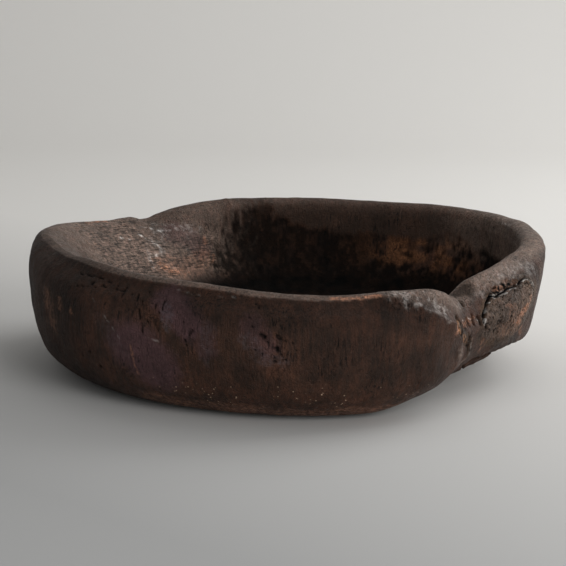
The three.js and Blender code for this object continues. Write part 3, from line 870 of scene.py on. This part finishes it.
def stained_wood(name, stain, thin_stain, rubbed, bare, grit_depth):
    """Wood stained nearly black and waxed: a satin brown-black, warmer where the stain is thin,
    grey where hands and dust have dulled it and where light is painted on, black in the pores,
    pits and cracks, with painted glints and painted shade."""
    finish = bpy.data.materials.new(name)
    finish.use_nodes = True
    tree = finish.node_tree
    shader = tree.nodes["Principled BSDF"]
    here = add(tree, "TexCoord").outputs["Object"]
    lay = add(tree, "Attribute", attribute_name="lay").outputs["Vector"]
    masks = {mask: add(tree, "Attribute", attribute_name=mask).outputs["Fac"] for mask in MASKS}

    # Stain lies in clouds about 45 mm across, broken by streaks 5 mm wide and 60 mm tall.
    clouds = add(tree, "TexNoise", {"Vector": here, "Scale": per_metre(45.45), "Detail": 5,
                                    "Roughness": 0.6})
    tall = add(tree, "Mapping", {"Vector": lay, "Scale": per_metre((5, 5, 58.82))})
    streaks = add(tree, "TexNoise", {"Vector": tall, "Scale": 1, "Detail": 4})
    blend = add(tree, "Math", {0: clouds, 1: streaks})
    thin = add(tree, "MapRange", {0: blend, 1: 0.8, 2: 1.25})
    colour = add(tree, "Mix", {0: thin, 6: linear(stain), 7: linear(thin_stain)}, data_type="RGBA")
    # Dirt and wax mottle it, 5 mm across, and break up the scuffs with their painted glints, and
    # what is bare.
    mottle = add(tree, "TexNoise", {"Vector": here, "Scale": per_metre(5.263), "Detail": 5,
                                    "Roughness": 0.7})
    broken = add(tree, "MapRange", {0: mottle, 1: 0.38, 2: 0.6, 3: 0.1, 4: 1.3})
    warm = add(tree, "MapRange", {0: streaks, 1: 0.42, 2: 0.7})
    rubbed_and_lit_wood = add(tree, "Mix", {0: warm, 6: linear(rubbed), 7: linear("80695d")},
                      data_type="RGBA")
    # Laid colours: the colour of the worn mask is partly painted light, the near-white partly
    # painted glints, and the near-black of the deep mask partly painted shade.
    for mask, laid in (("even", linear("34271f")), ("warm", linear("6e482f")),
                       ("worn_and_painted_light", rubbed_and_lit_wood), ("violet", linear("523a3b")),
                       ("bloom", linear("55565e")), ("raw", linear(bare)),
                       ("scuffs_and_painted_glints", linear("d8d2cc")), ("deep", linear("030201"))):
        share = masks[mask]
        if mask in ("raw", "scuffs_and_painted_glints", "bloom"):
            share = add(tree, "Math", {0: share, 1: broken}, operation="MULTIPLY", use_clamp=True)
        colour = add(tree, "Mix", {0: share, 6: colour, 7: laid}, data_type="RGBA")
    # Wood flour and wax fleck it, 2 mm across, coarser than real so that they show: most where the
    # stain is worn and painted lighter, but less on the slope, where that is strongest.
    grit = add(tree, "TexNoise", {"Vector": here, "Scale": per_metre(1.923), "Detail": 4,
                                  "Roughness": 0.6})
    specked = add(tree, "Math", {0: mottle, 1: grit})
    faint = add(tree, "MapRange", {0: specked, 1: 0.75, 2: 1.25, 3: 0.72, 4: 1.28})
    strong = add(tree, "MapRange", {0: specked, 1: 0.75, 2: 1.25, 3: 0.4, 4: 1.6})
    slope = add(tree, "MapRange", {0: masks["worn_and_painted_light"], 1: 0.87, 2: 0.95})
    calmer = add(tree, "MapRange", {0: slope, 3: 1.0, 4: 0.45})
    shown = add(tree, "Math", {0: masks["worn_and_painted_light"], 1: calmer}, operation="MULTIPLY")
    shown = add(tree, "Math", {0: shown, 1: masks["warm"]}, operation="MAXIMUM")
    flecks = add(tree, "Mix", {0: shown, 2: faint, 3: strong})
    # On the slope fine ridges lie level, 1.4 mm apart, over flutes 5 mm wide: painted shade
    # between the ridges and painted light on them, and painted shade and light across the flutes.
    flat = add(tree, "Mapping", {"Vector": lay, "Scale": per_metre((14.286, 14.286, 1.3889))})
    ridges = add(tree, "TexNoise", {"Vector": flat, "Scale": 1, "Detail": 3})
    between = add(tree, "MapRange", {0: ridges, 1: 0.38, 2: 0.52, 3: 0.34, 4: 1.22})
    flutes = add(tree, "MapRange", {0: streaks, 1: 0.38, 2: 0.62, 3: 0.6, 4: 1.3})
    painted_rib_shading = add(tree, "Math", {0: between, 1: flutes}, operation="MULTIPLY")
    slope_painted_shading = add(tree, "Mix", {0: slope, 2: 1.0, 3: painted_rib_shading})
    # Pores are dashes 2 mm wide and 16 mm tall, coarser than real so that they show, in clusters
    # 38 mm across. Pin holes about 2 mm across lie thickly, 4 mm apart, where the wood is worn and
    # painted lighter.
    # Hairline checks wander over it, with bends 18 mm apart.
    dashes = add(tree, "Mapping", {"Vector": lay, "Scale": per_metre((1.923, 1.923, 16.13))})
    pores = add(tree, "TexNoise", {"Vector": dashes, "Scale": 1})
    clusters = add(tree, "TexNoise", {"Vector": here, "Scale": per_metre(38.46)})
    cells = add(tree, "TexVoronoi", {"Vector": here, "Scale": per_metre(4.348)})
    wander = add(tree, "TexNoise", {"Vector": here, "Scale": per_metre(18.18), "Detail": 3,
                                    "Roughness": 0.55})
    from_middle = add(tree, "Math", {0: wander, 1: 0.5}, operation="SUBTRACT")
    hairlines = add(tree, "Math", {0: from_middle}, operation="ABSOLUTE")
    holes = 0.0
    for kind, shallow, deep, place, few, many, depth in (
        (pores, 0.57, 0.64, clusters, 0.46, 0.62, 1.0),
        (cells, 0.3, 0.14, masks["worn_and_painted_light"], 0.3, 0.6, 0.7),
        (hairlines, 0.009, 0.002, clouds, 0.52, 0.64, 1.0),
    ):
        hole = add(tree, "MapRange", {0: kind, 1: shallow, 2: deep})
        lies = add(tree, "MapRange", {0: place, 1: few, 2: many, 4: depth})
        hole = add(tree, "Math", {0: hole, 1: lies}, operation="MULTIPLY")
        holes = add(tree, "Math", {0: holes, 1: hole}, operation="MAXIMUM")
    shade = add(tree, "MapRange", {0: holes, 3: 1.0, 4: 0.3})
    tone = add(tree, "MapRange", {0: clouds, 1: 0.35, 2: 0.65, 3: 0.72, 4: 1.22})
    for factor in (tone, flecks, slope_painted_shading, shade):
        colour = add(tree, "Mix", {0: 1.0, 6: colour, 7: factor}, data_type="RGBA",
                     blend_type="MULTIPLY")
    # Grains of pale dust 1 to 2 mm across lie low on the front, in drifts.
    speck = add(tree, "MapRange", {0: cells, 1: 0.22, 2: 0.14})
    settled = add(tree, "MapRange", {0: wander, 1: 0.5, 2: 0.56})
    specks = add(tree, "Math", {0: speck, 1: settled}, operation="MULTIPLY")
    specks = add(tree, "Math", {0: specks, 1: masks["dusted"]}, operation="MULTIPLY")
    colour = add(tree, "Mix", {0: specks, 6: colour, 7: linear("c2a58c")}, data_type="RGBA")
    colour = add(tree, "Mix", {0: masks["dark"], 6: colour, 7: linear("060403")}, data_type="RGBA")
    tree.links.new(colour.outputs[2], shader.inputs["Base Color"])

    # Wax shines a little, unevenly; pits, cracks and the black of the hollow are dull.
    gloss = add(tree, "MapRange", {0: mottle, 1: 0.3, 2: 0.7, 3: 0.6, 4: 0.34})
    dull = add(tree, "Math", {0: masks["deep"], 1: masks["dark"]}, operation="MAXIMUM")
    rough = add(tree, "Mix", {0: dull, 2: gloss, 3: 1.0})
    tree.links.new(rough.outputs[0], shader.inputs["Roughness"])
    shader.inputs["Specular IOR Level"].default_value = 0.17

    # Fibres 1.7 mm wide and 17 mm tall stand proud, coarser than real so that they show; on the
    # slope its ridges do. Grit lies over them, and pores, pin holes and hairlines are sunk.
    fine = add(tree, "Mapping", {"Vector": lay, "Scale": per_metre((1.6667, 1.6667, 16.667))})
    fibre = add(tree, "TexNoise", {"Vector": fine, "Scale": 1, "Detail": 4})
    grain = add(tree, "Mix", {0: slope, 2: fibre, 3: ridges})
    normal = add(tree, "Bump", {"Distance": 1.8 * MM, "Height": grain})
    for depth, height in ((grit_depth, grit), (-0.7, holes)):
        normal = add(tree, "Bump", {"Distance": depth * MM, "Height": height, "Normal": normal})
    tree.links.new(normal.outputs[0], shader.inputs["Normal"])
    return finish


bowl_skin = whole_surface(*columns(COLUMN_STRETCHES))
show("hewn_bowl", bowl_skin,
     under_both,
     stained_wood("stained_waxed_hewn_hardwood", "33241c", "4a3024", "7a695e", "b07c60", 2.2),
     "bowl_body")
show("cracked_knot", bowl_skin.finer((321, 352), (3, 61)),
     lambda work: let_in(work.in_knot + KNOT_MARGIN),
     stained_wood("weathered_dead_knot_wood", "3a2c25", "55402f", "6b5c51", "b07c60", 2.6),
     "encased_knot")
show("ingrown_bark", bowl_skin.finer((304.5, 328), (3, 59)),
     lambda work: let_in(work.in_bark),
     stained_wood("ingrown_broken_bark", "2c2019", "4a3526", "5c4d43", "a87752", 3.0),
     "bark_strip")


# The floor and backdrop, in metres: half its width, how far it runs to the front and the back,
# the radius of its curve up, and how high it goes. The lamps look at the middle of the bowl.
HALF_WIDTH = 4.0
CURVE_FROM = 1.9
CURVE = 1.1
TALL = 4.0
LIT = Vector((0, 0, 0.1))


def studio():
    """A pale floor that curves up into a backdrop."""
    profile = [(-HALF_WIDTH, 0.0), (CURVE_FROM, 0.0)]
    profile += [(CURVE_FROM + CURVE * math.sin(t), CURVE - CURVE * math.cos(t))
                for t in np.linspace(0, math.pi / 2, 24)[1:]]
    profile += [(CURVE_FROM + CURVE, TALL)]
    corners = [(x, y, z) for y, z in profile for x in (-HALF_WIDTH, HALF_WIDTH)]
    faces = [(2 * i, 2 * i + 1, 2 * i + 3, 2 * i + 2) for i in range(len(profile) - 1)]
    mesh = bpy.data.meshes.new("floor")
    mesh.from_pydata(corners, [], faces)
    mesh.shade_smooth()
    floor = bpy.data.objects.new("floor", mesh)
    scene.collection.objects.link(floor)
    # Matt paint, a little greyer at the front left than on the backdrop that it runs up into:
    # painted shade at the front left and painted light towards the right and the back.
    paint = bpy.data.materials.new("pale_matt_paint")
    paint.use_nodes = True
    tree = paint.node_tree
    place = add(tree, "SeparateXYZ", {0: add(tree, "TexCoord").outputs["Object"]})
    across = add(tree, "Math", {0: place.outputs["X"], 1: place.outputs["Y"]})
    back = add(tree, "MapRange", {0: across, 1: -0.75, 2: 0.6})
    tone = add(tree, "Mix", {0: back, 6: linear("adadac"), 7: linear("eae8e4")}, data_type="RGBA")
    coat = tree.nodes["Principled BSDF"]
    tree.links.new(tone.outputs[2], coat.inputs["Base Color"])
    coat.inputs["Roughness"].default_value = 0.9
    floor.data.materials.append(paint)


def lamp(name, place, size, power):
    """A square lamp that looks at the bowl; place and size are in metres, power in watts."""
    light = bpy.data.lights.new(name, "AREA")
    light.size = size
    light.energy = power
    holder = bpy.data.objects.new(name, light)
    holder.location = place
    toward = LIT - Vector(place)
    holder.rotation_euler = toward.to_track_quat("-Z", "Y").to_euler()
    scene.collection.objects.link(holder)


studio()
lamp("window", (2.1, 1.2, 1.4), 1.8, 38)
lamp("sky", (0.8, 0.6, 2.7), 2.4, 12)
lamp("fill", (1.5, -2.5, 1.0), 1.6, 45)
world = bpy.data.worlds.new("room")
world.use_nodes = True
air = world.node_tree.nodes["Background"].inputs
air["Color"].default_value = linear("d8d8d8")
air["Strength"].default_value = 0.42
scene.world = world
scene.view_settings.view_transform = "Standard"
